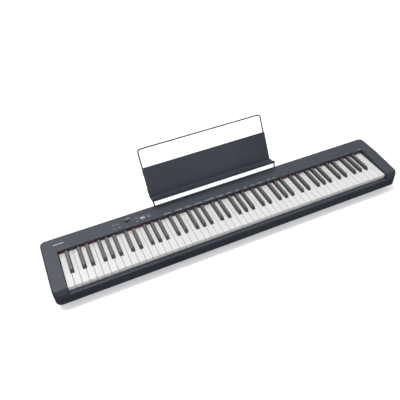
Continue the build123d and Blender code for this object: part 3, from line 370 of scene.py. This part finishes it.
def outline_of_bar(x, y, length, width, arc_steps=6):
    """A bar with round ends, as a closed outline."""
    r = width / 2
    points = []
    for side, turn in ((1, -90), (-1, 90)):
        for i in range(arc_steps + 1):
            a = math.radians(turn + 180 * i / arc_steps)
            points.append((x + side * (length / 2 - r) + r * math.cos(a), y + r * math.sin(a)))
    return points


def ink_patch(mesh, outline, z):
    """A thin raised film with that outline."""
    low = [mesh.verts.new((x, y, z)) for x, y in outline]
    high = [mesh.verts.new((x, y, z + INK)) for x, y in outline]
    mesh.faces.new(high)
    mesh.faces.new(low[::-1])
    for i in range(len(outline)):
        j = (i + 1) % len(outline)
        mesh.faces.new((low[i], low[j], high[j], high[i]))


def ink_ring(mesh, x, y, radius, width, z, start=0, sweep=360, steps=28):
    """A thin raised arc or ring."""
    for i in range(steps):
        corners = []
        inner, outer = radius - width / 2, radius + width / 2
        for k, r in ((i, inner), (i, outer), (i + 1, outer), (i + 1, inner)):
            a = math.radians(start + sweep * k / steps)
            corners.append((x + r * math.cos(a), y + r * math.sin(a)))
        ink_patch(mesh, corners, z)


def finish_piece(name, mesh, material, body):
    """Turns the mesh into a named piece that moves with the body."""
    bmesh.ops.remove_doubles(mesh, verts=mesh.verts, dist=1e-7)
    bmesh.ops.recalc_face_normals(mesh, faces=mesh.faces)
    data = bpy.data.meshes.new(name)
    mesh.to_mesh(data)
    mesh.free()
    piece = bpy.data.objects.new(name, data)
    bpy.context.scene.collection.objects.link(piece)
    data.materials.append(material)
    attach(piece, body)


def centre(node):
    low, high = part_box(node)
    return (low + high) / 2


def panel_print(materials):
    z = PANEL_TOP
    power, function = centre("power_button"), centre("function_button")
    piano, sound = centre("piano_button"), centre("sound_button")
    slider, light = centre("volume_slider"), centre("power_light")
    grey, white, green = bmesh.new(), bmesh.new(), bmesh.new()

    def bar(mesh, x, y, length, width):
        ink_patch(mesh, outline_of_bar(x, y, length, width), z)

    # plain line near the left end
    bar(white, CASE_LOW.x + 60 * MM, slider.y - 2 * MM, 36 * MM, 1.6 * MM)
    # power sign: a broken ring and a stroke
    ink_ring(grey, power.x, power.y + 11 * MM, 2.0 * MM, 0.5 * MM, z, start=120, sweep=300)
    bar(grey, power.x, power.y + 12.6 * MM, 0.5 * MM, 0.49 * MM)
    # short captions over and under the buttons, as plain strokes
    for place, length in ((power, 8), (function, 10), (piano, 9)):
        bar(grey, place.x, place.y - 8.5 * MM, length * MM, 0.9 * MM)
    bar(grey, function.x, function.y + 8.5 * MM, 7 * MM, 0.8 * MM)
    bar(grey, piano.x + 1 * MM, piano.y + 8 * MM, 11 * MM, 0.8 * MM)
    bar(grey, sound.x, sound.y + 8 * MM, 13 * MM, 0.8 * MM)
    bar(grey, sound.x, sound.y - 8 * MM, 9 * MM, 0.8 * MM)
    bar(grey, light.x, light.y + 5 * MM, 3.5 * MM, 0.7 * MM)
    # volume scale: a wedge of rising strokes behind the slider
    for i in range(7):
        bar(grey, slider.x - 9 * MM + 3 * MM * i, slider.y + 8 * MM, 0.6 * MM, 0.59 * MM)
    ink_patch(grey, [(slider.x - 10 * MM, slider.y + 10 * MM), (slider.x + 10 * MM, slider.y + 10 * MM),
                     (slider.x + 10 * MM, slider.y + 12 * MM)], z)
    # greenish field of strokes right of the bar button
    for row in range(3):
        bar(green, sound.x + 22 * MM, sound.y + (5 - 5 * row) * MM, (17 - 3 * row) * MM, 1.1 * MM)
    # captions along the edge above the keys: groups of short upright strokes in two lines
    for k, (place, length) in enumerate(CAPTIONS):
        for line, y in enumerate((CAPTION_FRONT, CAPTION_FRONT + CAPTION_LINE)):
            for i in range(length // 2 - 3 * line):
                width = (0.9 + 0.5 * abs(math.sin(2.1 * i + 1.3 * k + line))) * MM
                x = (place + 2 * i + 2.5 * line) * MM
                bar(grey, x, y, width, 0.7 * MM)
                bar(grey, x, y + 0.95 * MM, 0.85 * width, 0.6 * MM)
    finish_piece("panel_print_grey", grey, materials["print_grey"], "case")
    finish_piece("panel_print_white", white, materials["print_white"], "case")
    finish_piece("panel_print_green", green, materials["print_green"], "case")


# ---- studio ----
FLOOR_HALF = 9.0
FLOOR_GLOW = 0.35
FLOOR_DARK, FLOOR_LIGHT = 0.70, 0.72


def make_floor():
    mesh = bmesh.new()
    sides = ((-1, -1), (1, -1), (1, 1), (-1, 1))
    mesh.faces.new([mesh.verts.new((x * FLOOR_HALF, y * FLOOR_HALF, 0)) for x, y in sides])
    data = bpy.data.meshes.new("studio_floor")
    mesh.to_mesh(data)
    mesh.free()
    floor = bpy.data.objects.new("studio_floor", data)
    bpy.context.scene.collection.objects.link(floor)
    s = Surface("studio_floor")
    shade = s.noise(2.0, 2.0)
    colour = s.ramp(shade, ((0.3, (FLOOR_DARK,) * 3), (0.7, (FLOOR_LIGHT,) * 3)))
    data.materials.append(s.finish(colour, s.span(shade, 0.85, 0.95), Specular_IOR_Level=0.1,
                                   Emission_Color=(1.0, 1.0, 1.0, 1), Emission_Strength=FLOOR_GLOW))
    floor.visible_glossy = False


def aimed(name, data, place, target):
    """A light at a place, pointing at a target."""
    light = bpy.data.objects.new(name, data)
    light.location = place
    light.rotation_mode = "QUATERNION"
    light.rotation_quaternion = (Vector(place) - Vector(target)).to_track_quat("Z", "Y")
    bpy.context.scene.collection.objects.link(light)
    return light


PANEL_SIZE = (2.2, 1.7)
PANEL_DISTANCE = 3.2
PANEL_ELEVATION = 48
# azimuth and radiance of each gloss panel
PANELS = ((38, 3.3), (-8, 1.5), (-60, 1.1), (-125, 1.3), (180, 1.5), (110, 1.6))
# height from straight below (0) to overhead (1), and the brightness there as a share of the zenith's
SKY = ((0.46, 0.12), (0.56, 0.60), (1.0, 1.0))
ZENITH = 1.0
SKY_COLOUR = (0.92, 0.955, 1.0, 1)
SUN_FROM = (-0.22, 0.07, 1.0)
SUN_STRENGTH = 2.0
SUN_ANGLE = 8
FILL_FROM = (-0.8, -3.0, 1.1)
FILL_SIZE = (3.0, 1.2)
FILL_POWER = 22.0


def gloss_panel(name, azimuth, radiance):
    """A softbox that only shows in the object's gloss, so it adds no second shadow."""
    width, height = PANEL_SIZE
    a, e = math.radians(azimuth), math.radians(PANEL_ELEVATION)
    data = bpy.data.lights.new(name, "AREA")
    data.shape = "RECTANGLE"
    data.size, data.size_y = PANEL_SIZE
    data.energy = radiance * math.pi * width * height
    data.color = (0.93, 0.96, 1.0)
    place = (-math.sin(a) * math.cos(e) * PANEL_DISTANCE, math.cos(a) * math.cos(e) * PANEL_DISTANCE,
             math.sin(e) * PANEL_DISTANCE)
    aimed(name, data, place, (0, 0, 0)).visible_diffuse = False


def make_sky():
    """A plain world that is dark below the horizon and brightens toward the zenith."""
    world = bpy.data.worlds.new("studio")
    bpy.context.scene.world = world
    world.use_nodes = True
    tree = world.node_tree
    background = tree.nodes["Background"]
    background.inputs["Color"].default_value = SKY_COLOUR
    parts = tree.nodes.new("ShaderNodeSeparateXYZ")
    tree.links.new(tree.nodes.new("ShaderNodeTexCoord").outputs["Generated"], parts.inputs[0])
    height = tree.nodes.new("ShaderNodeMapRange")
    height.inputs["From Min"].default_value = -1.0
    tree.links.new(parts.outputs["Z"], height.inputs["Value"])
    sky = tree.nodes.new("ShaderNodeValToRGB")
    sky.color_ramp.elements.new(0.5)
    for element, (position, brightness) in zip(sky.color_ramp.elements, SKY):
        element.position = position
        element.color = (brightness, brightness, brightness, 1)
    tree.links.new(height.outputs["Result"], sky.inputs["Fac"])
    strength = tree.nodes.new("ShaderNodeMath")
    strength.operation = "MULTIPLY"
    strength.inputs[1].default_value = ZENITH
    tree.links.new(sky.outputs["Color"], strength.inputs[0])
    tree.links.new(strength.outputs["Value"], background.inputs["Strength"])


def make_lights():
    make_sky()
    sun = bpy.data.lights.new("key_light", "SUN")
    sun.energy = SUN_STRENGTH
    sun.angle = math.radians(SUN_ANGLE)
    sun.color = (1.0, 0.985, 0.96)
    aimed("key_light", sun, SUN_FROM, (0, 0, 0))
    fill = bpy.data.lights.new("front_fill", "AREA")
    fill.shape = "RECTANGLE"
    fill.size, fill.size_y = FILL_SIZE
    fill.energy = FILL_POWER
    aimed("front_fill", fill, FILL_FROM, (0, 0, 0)).visible_glossy = False
    for number, (azimuth, radiance) in enumerate(PANELS):
        gloss_panel(f"gloss_panel_{number}", azimuth, radiance)
    bpy.context.scene.view_settings.view_transform = "Standard"


CAMERA_PLACE = (-0.5405, -1.1428, 1.2638)
CAMERA_AZIMUTH = -21.6
CAMERA_ELEVATION = 43.4
CAMERA_ROLL = -3.16
CAMERA_LENS = 42.03


def make_camera():
    data = bpy.data.cameras.new("camera")
    data.lens = CAMERA_LENS
    data.sensor_width = 36
    data.clip_start = 0.05
    camera = bpy.data.objects.new("camera", data)
    a, e = math.radians(CAMERA_AZIMUTH), math.radians(CAMERA_ELEVATION)
    back = Vector((math.sin(a) * math.cos(e), -math.cos(a) * math.cos(e), math.sin(e)))
    turn = back.to_track_quat("Z", "Y").to_matrix() @ Matrix.Rotation(math.radians(CAMERA_ROLL), 3, "Z")
    camera.matrix_world = Matrix.Translation(CAMERA_PLACE) @ turn.to_4x4()
    bpy.context.scene.collection.objects.link(camera)
    bpy.context.scene.camera = camera


make_camera()
make_lights()
make_floor()
surfaces = make_materials()
dress_cad_parts(surfaces)
panel_print(surfaces)
